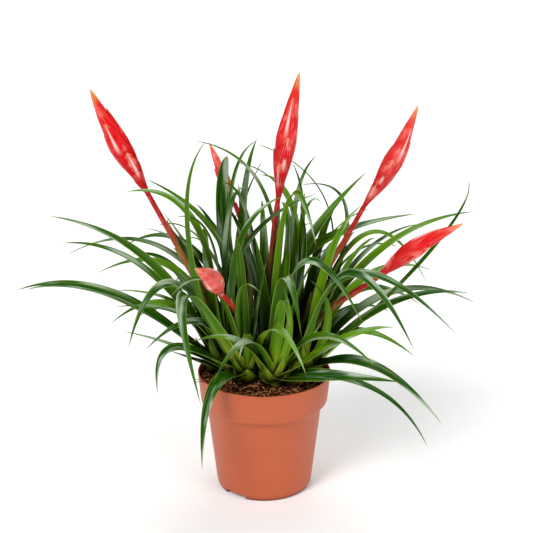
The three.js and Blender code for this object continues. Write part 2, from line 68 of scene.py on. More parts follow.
SCAPE = Values(radius=3.3, neck_radius=2.5, foot_z=104, rise=55)
SHEATHING = Values(count=4, first=0.3, spread=0.55, length=24, lift=1.1, flare=1.5)
SWORD = Values(widest_at=0.48, foot=0.27, foot_power=1.4, tip_power=0.78)

# Each rosette: name, place, the bearings between which more leaves fill it out and how many, its
# leaves as (crest x, y, z, tip x, y, z, width), and its spike, whose sword bows sideways.
ROSETTES = [
    Values(name="front_left", at=(-16, -12), fill=(190, 310, 4), leaves=[
        (-45, -66, 118, -53, -88, 55, 12),
        (-74, -62, 215, -112, -95, 170, 11),
        (-66, -72, 209, -52, -104, 123, 11),
        (-78, -45, 151, -91, -66, 116, 10),
        (-23, -22, 228, 17, -16, 279, 10),
        (-22, -15, 221, 47, 0, 277, 7),
        (-7, -22, 170, 2, -18, 220, 8),
        (-14, -46, 163, -22, -58, 144, 8),
        (-21, -40, 197, -2, -58, 205, 6),
        (-69, -30, 143, -121, -42, 165, 6),
    ], spike=Values(
        neck=(-35, -60, 205), tip=(-54, -132, 254), width=17, bow=3.5, faces=(0.71, -0.55, -0.43)
    )),
    Values(name="front", at=(8, -18), fill=(220, 350, 4), leaves=[
        (57, -44, 124, 117, -62, 126, 15),
        (33, -48, 229, 84, -78, 183, 10),
        (17, -55, 217, 31, -80, 177, 12),
        (68, -50, 161, 110, -58, 175, 10),
        (22, -44, 167, 16, -58, 211, 12),
        (-21, -48, 158, -61, -58, 162, 9),
        (11, -30, 161, 11, -32, 199, 8),
        (90, -62, 122, 139, -92, 79, 6),
    ], spike=None),
    Values(name="right", at=(33, -2), fill=(-30, 60, 4), leaves=[
        (92, -44, 135, 152, -80, 95, 11),
        (69, -58, 223, 125, -90, 166, 11),
        (75, -34, 214, 164, -58, 168, 10),
        (146, -12, 230, 173, -20, 293, 9),
        (106, 2, 182, 187, -8, 178, 9),
        (105, -26, 182, 177, -40, 199, 9),
        (56, -26, 171, 39, -30, 208, 8),
    ], spike=Values(neck=(97, -26, 208), tip=(168, -45, 264), width=20, bow=-4.4, faces=(0.1, -1, 0.25))),
    Values(name="left", at=(-38, 10), fill=(110, 200, 4), leaves=[
        (-131, -16, 190, -214, -30, 198, 11),
        (-125, -38, 194, -201, -56, 208, 11),
        (-99, 0, 212, -186, -6, 258, 10),
        (-101, -14, 210, -174, -24, 239, 8),
        (-59, -6, 247, -117, -18, 283, 9),
        (-44, -8, 228, -75, -16, 260, 7),
        (-66, -22, 254, -49, -14, 326, 6),
        (-79, 22, 198, -150, 20, 196, 9),
        (-47, 26, 173, -91, 30, 252, 9),
        (-65, -32, 173, -127, -48, 190, 8),
        (-53, -10, 123, -88, -18, 142, 11),
        (-32, 8, 243, -15, 14, 277, 7),
        (-72, 12, 166, -136, 6, 185, 6),
        (-63, 30, 201, -108, 40, 232, 5),
        (-52, 26, 212, -52, 30, 235, 9),
    ], spike=Values(neck=(-100, -3, 277), tip=(-146, -8, 371), width=20, bow=-1.2, faces=(-0.15, -1, 0.1))),
    Values(name="back_left", at=(-14, 36), fill=(70, 190, 8), leaves=[
        (-37, 42, 234, -33, 50, 297, 12),
        (-19, 44, 243, -6, 46, 314, 9),
        (-30, 34, 253, -7, 34, 315, 8),
        (-37, 26, 219, -104, 20, 284, 10),
        (-89, 44, 210, -180, 38, 207, 6),
        (-26, 62, 187, -54, 78, 233, 6),
        (-46, 52, 198, -72, 66, 213, 6),
        (-25, 58, 211, -1, 74, 287, 5),
    ], spike=Values(neck=(-27, 59, 250), tip=(-51, 88, 300), width=12, bow=0, faces=(0.75, -0.6, 0))),
    Values(name="middle", at=(6, 12), fill=(30, 150, 6), leaves=[
        (4, 10, 262, -59, 0, 323, 6),
        (24, -12, 273, 50, -34, 238, 10),
        (-2, -6, 190, -8, -16, 242, 15),
        (0, 24, 217, -2, 34, 261, 10),
        (-13, 14, 243, -37, 10, 285, 7),
        (34, 16, 234, 24, 14, 300, 7),
        (18, -2, 215, 15, 4, 264, 9),
        (27, 12, 210, 23, 20, 265, 9),
        (35, 4, 207, 31, 6, 263, 9),
        (31, 26, 235, 50, 34, 259, 5),
    ], spike=Values(neck=(12, 4, 269), tip=(30, 8, 382), width=20, bow=-1.8, faces=(0.1, -1, 0.1))),
    Values(name="back_right", at=(30, 32), fill=(0, 110, 8), leaves=[
        (28, 20, 199, 91, 24, 288, 11),
        (33, 34, 203, 136, 20, 250, 11),
        (99, 20, 214, 186, 14, 256, 9),
        (50, 62, 199, 98, 80, 239, 9),
        (88, 30, 228, 147, 26, 185, 6),
        (72, 8, 204, 98, 6, 234, 9),
        (75, 46, 238, 33, 46, 271, 6),
        (83, 34, 202, 141, 44, 235, 6),
        (29, 42, 240, 52, 54, 295, 6),
        (61, 58, 236, -7, 62, 305, 5),
        (27, 50, 240, -25, 60, 288, 5),
        (29, 44, 241, -2, 50, 281, 8),
    ], spike=Values(neck=(88, 26, 256), tip=(133, 18, 351), width=20, bow=4, faces=(0.1, -1, 0.15))),
]
FILL_TURNS = [
    Values(reach=112, crest_z=162, tip_z=146, width=10),
    Values(reach=122, crest_z=200, tip_z=208, width=9),
    Values(reach=56, crest_z=208, tip_z=256, width=9),
]
FILL_CREST = 0.45  # of the way out to the tip
FILL_SCATTER = Values(bearing=16, reach=0.3, height=26)
FILL_SEED = 130
BEND_STEP = Values(crest_swing=4, tip_swing=7, lift=6)
BEND_SWINGS = (0, 1, -1, 2, -2, 3, -3, 4, -4, 5, -5, 6, -6)
BENDS = [(swings, lifts) for lifts in (0, 1, -1) for swings in BEND_SWINGS]

# ---- what the scene adds ----
POT_SIDES = 168
ROUNDED_MOST = 0.49  # of a side, by the rounding at one of its ends
POT_FLARE = Values(share=0.7, z=5)  # of the foot, on its way out to the body
NOTCH = Values(height=4.6, corner=1.2, splay=0.4, past=4)  # as high as in the photo; 3.2 in the solids
CUT_PAST = 2.5  # how far a cutter reaches past what it cuts

SOIL_SIDES = 200
SOIL_RINGS = 64
SOIL_TINT = Values(side=0.1, top=0.05, relief=0.1, most=0.3)
RELIEF_SEED = 7
RELIEF_WAVES = 5
RELIEF_BUMPS = ((9, 0.2), (5, 0.16), (3, 0.14), (2, 0.12))  # how far apart, and how high
CRUMB_SEED = 21
CHIP = Values(count=1300, smallest=(1, 0.4, 0.3), largest=(3.4, 1.25, 0.8), flatness=0.6, shade=(0.2, 1))
CRUMB = Values(count=2400, smallest=(0.4, 0.4, 0.4), largest=(1.2, 1.2, 1.2), flatness=1, shade=(0, 0.7))
CRUMB_UNEVEN = (0.6, 1.2)
CRUMB_JITTER = 0.12
CRUMB_LEVEL = (-0.3, 1.3)  # over the surface of the potting mix
CRUMB_MARGIN = 1.6
CROWN_ROOM = 11  # kept free of crumbs, round each crown
FIBRE_STATIONS = 9
FIBRE_SIDES = 5
FIBRE = Values(
    count=120, length=(5, 15), radius=(0.16, 0.42), bow=(-0.35, 0.35), arch=(0.1, 1.6), shade=(0.5, 1.0),
    level=0.5, margin=3,
)
RIM_FIBRES = ((207, 53, 65, 8), (204.5, 51, 64, 6), (212, 54, 62.4, 5))  # bearing, reach in and out, droop
RIM_FIBRE = Values(radius=0.5, root_over_soil=1.5, end_over_rim=4.5, veer=0.12, shade=0.42)

TIP_FOUND_WITHIN = 0.2  # of where a leaf of the part may end
LEAF_SEED = 300
LEAF_ACROSS = 9
LEAF_FULLNESS = 1.08  # beside the solids
LEAF_CHANNEL = Values(depth=0.32, curve=1.25, clasp_run=0.12)
LEAF_EDGE = Values(thinned=0.8, power=3)
FULL_LEAF = Values(stations=34, clasp=0.5, colours=1.0)  # colours: how far they run along it
BASE_LEAF = Values(  # short broad ones round each crown; pairs are for the outermost and the innermost
    stations=18, clasp=0.45, colours=0.16, even=1.45, power=0.85, count=12, root_radius=(9.8, 6.5),
    root_z=(105.5, 115.4), reach=(18, 30), tip_z=(116, 146), width=(20, 9), least_reach=11, room=13,
)
BASE_SCATTER = Values(reach=(0.7, 1), rise=(0, 8), bulge=(1, 3.5), width=(0.9, 1.1), tint=(0.4, 1))
GOLDEN = math.radians(137.5)  # between one leaf and the next
CROWN_SIDES = 40
BLUNT = Values(leaf=("back_left", 0), share=0.9, even=5, power=0.6, roll=-0.6)  # its end is blunt
LEAF_TINTS = {  # how light the plainest leaves are, from 0 to 1; the others are drawn
    "front_left": {0: 0.25, 1: 0.3, 2: 0.35, 4: 0.45, 5: 0.3, 12: 0.4},
    "front": {0: 0.15, 1: 0.3, 7: 0.1},
    "right": {0: 0.2, 1: 0.15, 2: 0.25, 3: 0.45},
    "left": {0: 0.3, 1: 0.25, 2: 0.45, 3: 0.4},
    "back_left": {0: 0.2, 1: 0.55, 5: 0.5},
    "middle": {0: 0.55, 6: 0.6},
    "back_right": {0: 0.65, 1: 0.7, 2: 0.75, 6: 0.3},
}
LEAF_WIDTHS = {  # beside the part's own widths
    "front_left": {2: 1.15},
    "front": {4: 0.68},
    "right": {3: 0.5},
    "left": {0: 0.82, 1: 0.82, 4: 1.3},
    "back_right": {0: 1.45, 1: 1.3, 6: 0.7},
}
DRY_FROM = 0.94  # the share of a leaf's length where its dry tip starts
DRY_MOST = 0.85
DRIER_LEAVES = {"front_left": {3: 0.85}}

TUBE_ASIDE = (0.12, 0.98, 0.05)  # a direction that no stem or fibre runs in
STEM = Values(stations=44, sides=20, slimness=0.87)
SHEATH = Values(stations=14, swell=0.3, closes_from=0.45, closed=0.86, flare_power=2.2)

SWORD_DEPTH = 0.85
SWORD_INSET = 0.3
SWORD_CORE = Values(stations=30, sides=24, sunk=1.3, end=0.97, tip=0.985)
BRACTS = (  # where each starts and ends along its sword
    (0, 0.16), (0, 0.28), (0.02, 0.4), (0.08, 0.5), (0.16, 0.6), (0.24, 0.69), (0.32, 0.8), (0.42, 1)
)
BRACT = Values(
    stations=34, across=29, wall=0.75, edge_wall=0.3, rise=1.6, sunk=1.1, belly=0.6, edge_in=0.3, power=0.85
)
BRACT_KEEL = Values(height=0.25, width=0.3)
BRACT_FIT = Values(slope=1.7, least=0.2)  # flatter where its sword is slim
BRACT_TINT_STEP = 0.37
BRACT_WRAP = Values(degrees=132, taper=1.7, point=0.4)
LAST_WRAP = Values(degrees=175, taper=3.0, point=0.0)
SWORD_LOOKS = {  # "facings" are the bearings of its bracts: 270 is towards the camera
    "front_left": Values(slim=1, pink=0.55, facings=(250, 30, 165, 300, 75, 215, 350, 270)),
    "right": Values(slim=0.83, pink=0.08, facings=(60, 210, 20, 120, 318, 90, 200, 290)),
    "left": Values(slim=0.95, pink=0, facings=(150, 20, 298, 60, 190, 262, 20, 200)),
    "back_left": Values(slim=1, pink=0.5, facings=(300, 77, 215, 352, 130, 267, 45, 270)),
    "middle": Values(slim=0.96, pink=0.05, facings=(60, 240, 170, 274, 40, 338, 258, 320)),
    "back_right": Values(slim=0.88, pink=0.2, facings=(120, 240, 20, 256, 140, 340, 286, 200)),
}

# ---- stage, in metres ----
CAMERA = Values(at=(0.0021, -1.1332, 0.6042), tilt=70.8, lens=92.1, sensor=36)
FLOOR_HALF = 6
FLOOR_GLOW = 0.12
SKY_LIGHT = 0.15
SKY_SEEN = 1.1
SUNS = (  # name, place, angle across, power
    ("key", (-0.8, -1.2, 1.5), 22, 1.95),
    ("fill", (1.2, -1.0, 0.9), 40, 1.0),
    ("top", (0.1, 0.7, 1.7), 28, 1.15),
)


# ---- helpers ----
def vec(*values):
    return np.array(values, float)


def heading(angle):
    """A level direction."""
    return vec(math.cos(angle), math.sin(angle), 0)


def unit(v):
    return v / np.linalg.norm(v, axis=-1, keepdims=True)


def mix(a, b, t):
    return a + (b - a) * t


def smooth(low, high, x):
    t = np.clip((x - low) / (high - low), 0, 1)
    return t * t * (3 - 2 * t)


def column(values):
    return np.asarray(values)[:, None]


def circle(sides):
    """Angles all the way round."""
    return np.linspace(0, 2 * math.pi, sides, endpoint=False)


def drawn(seed):
    """The part's own repeatable draws between 0 and 1."""
    state = seed
    while True:
        state = (state * 1664525 + 1013904223) % 4294967296
        yield state / 4294967296


def bands(count, sides):
    """The numbers of the points in each ring, the same one point further round, and the faces between."""
    grid = np.arange(count * sides).reshape(count, sides)
    turned = np.roll(grid, -1, axis=1)
    quads = np.stack([grid[:-1], turned[:-1], turned[1:], grid[1:]], axis=-1)
    return grid, turned, quads.reshape(-1, 4).tolist()


def put_in(name, data):
    """A new object in the scene."""
    thing = bpy.data.objects.new(name, data)
    bpy.context.scene.collection.objects.link(thing)
    return thing


class Skin:
    """The points, faces and per-point values of one piece, gathered from closed forms."""

    def __init__(self, *names):
        self.points, self.faces, self.count = [], [], 0
        self.values = {name: [] for name in names}

    def add(self, points, faces, **values):
        self.points.append(points)
        self.faces += [[self.count + i for i in face] for face in faces]
        self.count += len(points)
        for name, held in self.values.items():
            held.append(np.broadcast_to(values.get(name, 0.0), len(points)))

    def loft(self, rings, tip=None, **values):
        """A closed skin over rings of points, each anticlockwise seen from the far end. A value is one
        number, an array that fits the rings, or a pair of that and the tip's own."""
        count, sides = rings.shape[:2]
        for name, value in values.items():
            body, last = value if isinstance(value, tuple) else (value, value)
            body = np.broadcast_to(body, (count, sides)).ravel()
            values[name] = body if tip is None else np.append(body, last)
        grid, turned, faces = bands(count, sides)
        faces.append(grid[0][::-1].tolist())
        points = rings.reshape(-1, 3)
        if tip is None:
            faces.append(grid[-1].tolist())
        else:
            faces += [[a, b, count * sides] for a, b in zip(grid[-1], turned[-1])]
            points = np.vstack([points, tip])
        self.add(points, faces, **values)

    def lathe(self, profile, sides, **values):
        """A closed form turned about the axis: the profile starts and ends on it."""
        radius, z = profile[1:-1, :1], profile[1:-1, 1:]
        x, y = radius * np.cos(circle(sides)), radius * np.sin(circle(sides))
        rings = np.stack(np.broadcast_arrays(x, y, z), axis=-1)
        grid, turned, faces = bands(len(rings), sides)
        first, last = grid.size, grid.size + 1
        faces += [[b, a, first] for a, b in zip(grid[0], turned[0])]
        faces += [[a, b, last] for a, b in zip(grid[-1], turned[-1])]
        ends = [(0, 0, profile[0][1]), (0, 0, profile[-1][1])]
        self.add(np.vstack([rings.reshape(-1, 3), ends]), faces, **values)

    def mesh(self, name):
        mesh = bpy.data.meshes.new(name)
        mesh.from_pydata((np.vstack(self.points) * MM).tolist(), [], self.faces)
        return mesh

    def make(self, name, material, slot, *nodes, sharp=50):
        mesh = self.mesh(name)
        for key, held in self.values.items():
            layer = mesh.attributes.new(key, "FLOAT", "POINT")
            layer.data.foreach_set("value", np.concatenate(held).astype(np.float32))
        mesh.validate()
        mesh.shade_smooth()
        mesh.set_sharp_from_angle(angle=math.radians(sharp))
        mesh.materials.append(material)
        piece = put_in(name, mesh)
        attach(piece, "root")
        if nodes:
            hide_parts(*nodes)
        return piece


def cutter(rings):
    """A closed form that only cuts."""
    skin = Skin()
    skin.loft(rings)
    return put_in("cutter", skin.mesh("cutter"))


def drill(at, radius, low, high, sides=32):
    """A cutter for a round upright hole."""
    ring = radius * np.array([heading(angle) for angle in circle(sides)])
    return cutter(np.stack([ring + vec(*at, z) for z in (low, high)]))


def cut(piece, cutters):
    """Takes closed forms out of a piece."""
    for tool in cutters:
        modifier = piece.modifiers.new("cut", "BOOLEAN")
        modifier.operation = "DIFFERENCE"
        modifier.solver = "EXACT"
        modifier.object = tool
    seen = piece.evaluated_get(bpy.context.evaluated_depsgraph_get())
    mesh = bpy.data.meshes.new_from_object(seen)
    piece.modifiers.clear()
    piece.data = mesh
    for tool in cutters:
        bpy.data.objects.remove(tool)


def spokes(across, away, sides):
    """Directions all round a path, from the two that are square to it at each point."""
    angle = column(circle(sides))
    return across[:, None] * np.cos(angle) + away[:, None] * np.sin(angle)


def tube(path, radius, sides):
    """Rings of points round a path, each anticlockwise seen from the far end."""
    along = unit(np.gradient(path, axis=0))
    across = unit(np.cross(TUBE_ASIDE, along))
    radius = np.broadcast_to(radius, len(path))[:, None, None]
    return path[:, None] + radius * spokes(across, np.cross(along, across), sides)


# ---- looks ----
def colour(code):
    """A linear colour from a hexadecimal one."""
    channels = [int(code[i : i + 2], 16) / 255 for i in (1, 3, 5)]
    return [c / 12.92 if c <= 0.04045 else ((c + 0.055) / 1.055) ** 2.4 for c in channels] + [1.0]


class Look:
    """A procedural material. Most methods add nodes and return what comes out of them."""

    def __init__(self, name, **fixed):
        self.material = bpy.data.materials.new(name)
        self.material.use_nodes = True
        self.tree = self.material.node_tree
        self.shader = self.tree.nodes["Principled BSDF"]
        for key, value in fixed.items():
            self.shader.inputs[key.replace("_", " ")].default_value = value

    def feed(self, socket, value):
        if isinstance(value, bpy.types.NodeSocket):
            self.tree.links.new(value, socket)
        else:
            socket.default_value = value

    def add(self, kind, inputs, output=0, **settings):
        node = self.tree.nodes.new("ShaderNode" + kind)
        for key, value in settings.items():
            setattr(node, key, value)
        for key, value in inputs.items():
            self.feed(node.inputs[key], value)
        return node.outputs[output]

    def values(self, *names):
        """The values that a skin holds for each of its points."""
        return [self.add("Attribute", {}, "Fac", attribute_name=name) for name in names]

    def place(self):
        return self.add("TexCoord", {}, "Object")

    def math(self, operation, a, b):
        return self.add("Math", {0: a, 1: b}, operation=operation)

    def times(self, a, b):
        return self.math("MULTIPLY", a, b)

    def noise(self, place, scale, detail=2.0, roughness=0.5):
        inputs = {"Vector": place, "Scale": scale, "Detail": detail, "Roughness": roughness}
        return self.add("TexNoise", inputs)

    def lines(self, across, along, apart, *noise):
        """Noise drawn out along a strip. Across and along each come with a scale, and what sets
        one strip apart from the next is the third coordinate."""
        place = self.add("CombineXYZ", {0: self.times(*across), 1: self.times(*along), 2: apart})
        return self.noise(place, *noise)

    def span(self, value, low, high, to_low=0.0, to_high=1.0):
        """The value's way from low to high, eased at both ends."""
        inputs = {0: value, 1: low, 2: high, 3: to_low, 4: to_high}
        return self.add("MapRange", inputs, interpolation_type="SMOOTHSTEP")

    def ramp(self, share, *stops):
        node = self.tree.nodes.new("ShaderNodeValToRGB")
        node.color_ramp.interpolation = "EASE"
        points = node.color_ramp.elements
        while len(points) < len(stops):
            points.new(0.5)
        for point, (where, code) in zip(points, stops):
            point.position = where
            point.color = colour(code)
        self.feed(node.inputs[0], share)
        return node.outputs[0]

    def blend(self, share, a, b):
        a, b = (colour(c) if isinstance(c, str) else c for c in (a, b))
        return self.add("Mix", {0: share, 6: a, 7: b}, 2, data_type="RGBA")

    def tinge(self, base, code, value, low, high, most=1.0, where=None):
        """The base, turned to another colour by up to that share as the value goes from low to high."""
        share = self.span(value, low, high, 0.0, most)
        return self.blend(share if where is None else self.times(where, share), base, code)

    def paint_shade_where_shut_in(self, base, code, reach, most, low=0.7, high=0.05):
        """Painted shade: the same, as the surface goes from open (1) to shut in by others within reach (0).
        """
        openness = self.add("AmbientOcclusion", {"Distance": reach * MM}, "AO", samples=6)
        return self.tinge(base, code, openness, low, high, most)

    def finish(self, base, roughness, height, depth):
        """Sets the colour, the roughness and a relief of that depth in millimetres."""
        self.feed(self.shader.inputs["Base Color"], base)
        self.feed(self.shader.inputs["Roughness"], roughness)
        normal = self.add("Bump", {"Height": height, "Distance": depth * MM, "Strength": 1.0}, "Normal")
        self.feed(self.shader.inputs["Normal"], normal)
        return self.material


def leaf_look():
    """Fresh green with fine veins, paler at the foot, darker further out, with a painted sheen and painted
    shade.
    """
    look = Look("leaf", IOR=1.45, Specular_IOR_Level=0.16)
    along, across, edge, under = look.values("along", "across", "edge", "under")
    tint, dry = look.values("tint", "dry")
    leaf = look.times(tint, 60.0)
    veins = look.lines((across, 1.0), (along, 2.5), leaf, 1.0, 3.0, 0.6)
    streaks = look.lines((across, 0.4), (along, 2.0), leaf, 1.0)
    sheen = look.lines((across, 0.16), (along, 2.6), leaf, 1.0)
    patches = look.noise(look.place(), 28.0)
    dark = look.ramp(
        along, (0.0, "#b8c01c"), (0.05, "#98b40c"), (0.13, "#427c04"), (0.26, "#105402"),
        (0.6, "#084600"), (1.0, "#124e02"),
    )
    light = look.ramp(
        along, (0.0, "#ccd240"), (0.06, "#b0c41c"), (0.18, "#7cae04"), (0.4, "#72a606"),
        (0.75, "#5e920e"), (1.0, "#588c12"),
    )
    green = look.blend(look.span(tint, 0.2, 1.0), dark, light)
    green = look.tinge(green, "#86b028", veins, 0.5, 0.7, 0.45)
    green = look.tinge(green, "#0a3a02", veins, 0.5, 0.32, 0.5)
    green = look.tinge(green, "#90b822", streaks, 0.55, 0.8, 0.3)
    green = look.tinge(green, "#0a3602", streaks, 0.45, 0.25, 0.4)
    green = look.tinge(green, "#0a3202", patches, 0.4, 0.75, 0.3)
    green = look.blend(look.times(under, 0.25), green, "#6c9420")
    green = look.tinge(green, "#b0cc5c", edge, 0.88, 1.0, 0.6)
    green = look.tinge(green, "#8fb04a", edge, 0.1, 0.0, 0.2)
    green = look.tinge(green, "#d4d854", streaks, 0.42, 0.66, 0.55, look.span(along, 0.17, 0.03))
    # Painted sheen: pale streaks on the upper side of the outer part, standing in for reflected light.
    painted_sheen = look.times(look.span(along, 0.25, 0.45), look.math("SUBTRACT", 1.0, under))
    green = look.tinge(green, "#bccfb4", sheen, 0.48, 0.66, 0.62, painted_sheen)
    green = look.blend(dry, green, look.blend(veins, "#a09a38", "#8a6a34"))
    # Painted shade: near black where other leaves close the surface in.
    green = look.paint_shade_where_shut_in(green, "#001600", 55, 0.97)
    gloss = look.math("ADD", look.span(sheen, 0.42, 0.64, 0.36, 0.19), look.times(under, 0.12))
    return look.finish(green, gloss, veins, 0.12)


def sword_look():
    """Red bracts with pale bellies and streaks, partly tissue and partly painted highlight, a painted ridge
    shine and orange tips.
    """
    look = Look("bract", IOR=1.45, Specular_IOR_Level=0.08, Coat_Weight=0.12, Coat_Roughness=0.08)
    along, own, edge, tint, pink = look.values("along", "own", "edge", "tint", "pink")
    bract = look.times(tint, 40.0)
    veins = look.lines((edge, 7.0), (own, 2.0), bract, 1.5, 3.0, 0.55)
    streaks = look.lines((edge, 3.2), (own, 1.6), bract, 1.3)
    threads = look.lines((edge, 16.0), (own, 3.0), bract, 1.0)
    patches = look.noise(look.place(), 75.0)
    red = look.ramp(
        along, (0.0, "#b80610"), (0.18, "#cc020c"), (0.6, "#e00412"), (0.84, "#e4281c"),
        (0.92, "#ec8442"), (1.0, "#f6c884"),
    )
    # Pale pink bellies: partly paler tissue, partly a painted highlight on the swell of each bract.
    pale_bellies_and_highlight = look.times(look.span(edge, 0.8, 0.15), look.span(own, 0.25, 0.62))
    red = look.tinge(red, "#f57a70", patches, 0.49, 0.64, 0.9, pale_bellies_and_highlight)
    red = look.tinge(red, "#9c020a", edge, 0.8, 1.0, 0.5)
    red = look.tinge(red, "#f47a70", veins, 0.58, 0.76, 0.14)
    red = look.blend(look.times(pink, look.span(patches, 0.3, 0.6, 0.2, 1.0)), red, "#f68a7e")
    # Thin pale streaks inside each bract: partly paler tissue, partly a painted highlight.
    inner = look.times(look.span(edge, 0.7, 0.2), look.span(own, 0.2, 0.5))
    red = look.tinge(red, "#f8a49a", threads, 0.56, 0.72, 0.75, inner)
    # Painted highlight: a pale shine along the ridge of each bract.
    painted_ridge_shine = look.times(look.span(edge, 0.17, 0.02), look.span(own, 0.3, 0.6))
    red = look.tinge(red, "#fcd4ca", streaks, 0.43, 0.56, 0.9, painted_ridge_shine)
    point = look.times(look.span(own, 0.86, 1.0), look.span(veins, 0.3, 0.6, 0.2, 0.8))
    red = look.blend(point, red, "#f0a080")
    # Painted shade: darker red where the bracts lie close over each other.
    red = look.paint_shade_where_shut_in(red, "#8c0006", 3, 0.7)
    return look.finish(red, look.span(patches, 0.3, 0.7, 0.24, 0.36), veins, 0.1)


def scape_look():
    """A streaky stem, green at its foot and red at its neck, in sheaths with drying points."""
    look = Look("scape", IOR=1.45, Specular_IOR_Level=0.25)
    along, own, around = look.values("along", "own", "around")
    streaks = look.lines((around, 5.0), (along, 12.0), own, 1.6, 3.0, 0.6)
    stem = look.ramp(
        along, (0.0, "#5c7a20"), (0.45, "#808c34"), (0.66, "#94702e"), (0.78, "#ac3c26"),
        (0.9, "#bc1014"), (1.0, "#c80812"),
    )
    marks = look.ramp(along, (0.35, "#6a4a22"), (0.55, "#a83a28"), (0.95, "#e4604c"))
    stem = look.tinge(stem, marks, streaks, 0.46, 0.64, 0.65)
    stem = look.tinge(stem, "#9aa648", own, 0.5, 0.85, 0.55)
    stem = look.tinge(stem, "#7a5a30", own, 0.9, 1.0, 0.8)
    # Painted shade: near black where the leaves close the stem in.
    stem = look.paint_shade_where_shut_in(stem, "#050500", 30, 0.88)
    return look.finish(stem, look.span(streaks, 0.3, 0.7, 0.32, 0.48), streaks, 0.15)


def pot_look():
    """Terracotta-coloured plastic, a little cloudy, with faint turning marks and painted shade in its
    hollows.
    """
    look = Look("pot", IOR=1.46)
    place = look.place()
    clouds = look.noise(place, 22.0, 3.0)
    grain = look.noise(place, 900.0)
    rings = look.noise(look.add("Mapping", {"Vector": place, "Scale": (6.0, 6.0, 260.0)}), 1.0, 3.0)
    shade = look.ramp(clouds, (0.3, "#bb5832"), (0.7, "#c15d35"))
    shade = look.tinge(shade, "#d88a66", rings, 0.4, 0.7, 0.03)
    shade = look.tinge(shade, "#a9583c", look.noise(place, 160.0, 4.0), 0.62, 0.8, 0.12)
    # Painted shade: darker in the crease under the band and in other hollows.
    shade = look.paint_shade_where_shut_in(shade, "#6e2c18", 5, 0.75, 0.92, 0.6)
    relief = look.math("ADD", grain, look.times(rings, 0.08))
    return look.finish(shade, look.span(clouds, 0.3, 0.7, 0.42, 0.52), relief, 0.05)


def soil_look():
    """Peat, bark and coir, from nearly black to straw-coloured by each piece's tint."""
    look = Look("potting_mix", IOR=1.35, Specular_IOR_Level=0.2)
    place = look.place()
    (tint,) = look.values("tint")
    fine = look.noise(place, 900.0, 4.0, 0.65)
    grain = look.noise(place, 260.0, 3.0, 0.6)
    base = look.ramp(
        tint, (0.0, "#0a0402"), (0.25, "#2c1108"), (0.5, "#8c4a28"), (0.75, "#d08a54"),
        (1.0, "#f4c088"),
    )
    base = look.tinge(base, look.blend(tint, "#0a0503", "#86562f"), fine, 0.4, 0.7, 0.5)
    base = look.tinge(base, "#6e4a30", grain, 0.6, 0.75, 0.35)
    # Painted shade: near black in the gaps between crumbs and round the crowns.
    base = look.paint_shade_where_shut_in(base, "#020100", 5, 0.95)
    return look.finish(base, look.span(fine, 0.3, 0.7, 0.75, 0.95), fine, 0.5)


# ---- pot ----
def rounded(profile, radii, steps=4):
    """The profile with each corner turned into a short curve that starts that far from it."""
    points = [vec(*p) for p in profile]
    out = []
    for i, (corner, radius) in enumerate(zip(points, radii)):
        if radius == 0:
            out.append(corner)
            continue
        a, b = (
            corner + unit(end - corner) * min(radius, ROUNDED_MOST * np.linalg.norm(end - corner))
            for end in (points[i - 1], points[i + 1])
        )
        for t in np.linspace(0, 1, steps + 1):
            out.append((1 - t) ** 2 * a + 2 * t * (1 - t) * corner + t * t * b)
    return np.array(out)


def make_pot():
    p, wall = POT, POT.wall
    flare_radius = mix(p.foot_radius, p.body_foot_radius, POT_FLARE.share)
    plate_wall = p.plate_radius - p.plate_inset
    groove_inside = p.groove_height + wall
    corners = [  # radius and height, and how far the rounding reaches
        ((0, 0), 0),
        ((p.plate_radius, 0), 0.8),
        ((p.plate_radius + p.groove_slope, p.groove_height), 0.8),
        ((p.foot_radius - p.foot_ring, p.groove_height), 0.5),
        ((p.foot_radius - p.foot_ring, 0), 0.8),
        ((p.foot_radius, 0), 1.2),
        ((flare_radius, POT_FLARE.z), 3),
        ((p.body_foot_radius, p.body_foot_z), 3),
        ((p.body_top_radius, p.body_top_z), 1.6),
        ((p.band_foot_radius, p.band_foot_z), 1.6),
        ((p.rim_radius, p.height), 0.9),
        ((p.rim_radius - wall, p.height), 0.7),
        ((p.band_foot_radius - wall, p.band_foot_z), 2),
        ((p.body_top_radius - wall, p.body_top_z), 2),
        ((p.body_foot_radius - wall, p.body_foot_z), 3),
        ((p.foot_radius - wall, groove_inside), 2),
        ((plate_wall + p.groove_slope, groove_inside), 0.6),
        ((plate_wall, wall), 0.6),
        ((0, wall), 0),
    ]
    skin = Skin()
    skin.lathe(rounded(*zip(*corners)), POT_SIDES)
    pot = skin.make("flower_pot", pot_look(), "pot_plastic", "pot", sharp=35)
    notches = [notch_cutter(math.radians(bearing)) for bearing in DRAIN_NOTCH.bearings]
    holes = []
    for turn in circle(DRAIN_HOLE.count):
        at = DRAIN_HOLE.ring * heading(turn)[:2]
        holes.append(drill(at, DRAIN_HOLE.radius, -CUT_PAST, groove_inside + CUT_PAST))
    cut(pot, notches + holes)


def notch_cutter(turn):
    """An arch that goes through the foot, a little wider towards the ground."""
    out = heading(turn)
    aside = vec(-out[1], out[0], 0)
    width, height = DRAIN_NOTCH.width / 2, NOTCH.height
    right = [
        (width + 2 * NOTCH.splay, -NOTCH.past),
        (width + NOTCH.splay, 0),
        (width, height - NOTCH.corner),
        (width - NOTCH.corner, height),
    ]
    arch = right + [(-x, z) for x, z in reversed(right)]
    rings = [
        [out * (POT.foot_radius + reach) + aside * x + vec(0, 0, z) for x, z in arch]
        for reach in (-DRAIN_NOTCH.depth / 2, DRAIN_NOTCH.depth / 2)
    ]
    return cutter(np.array(rings))


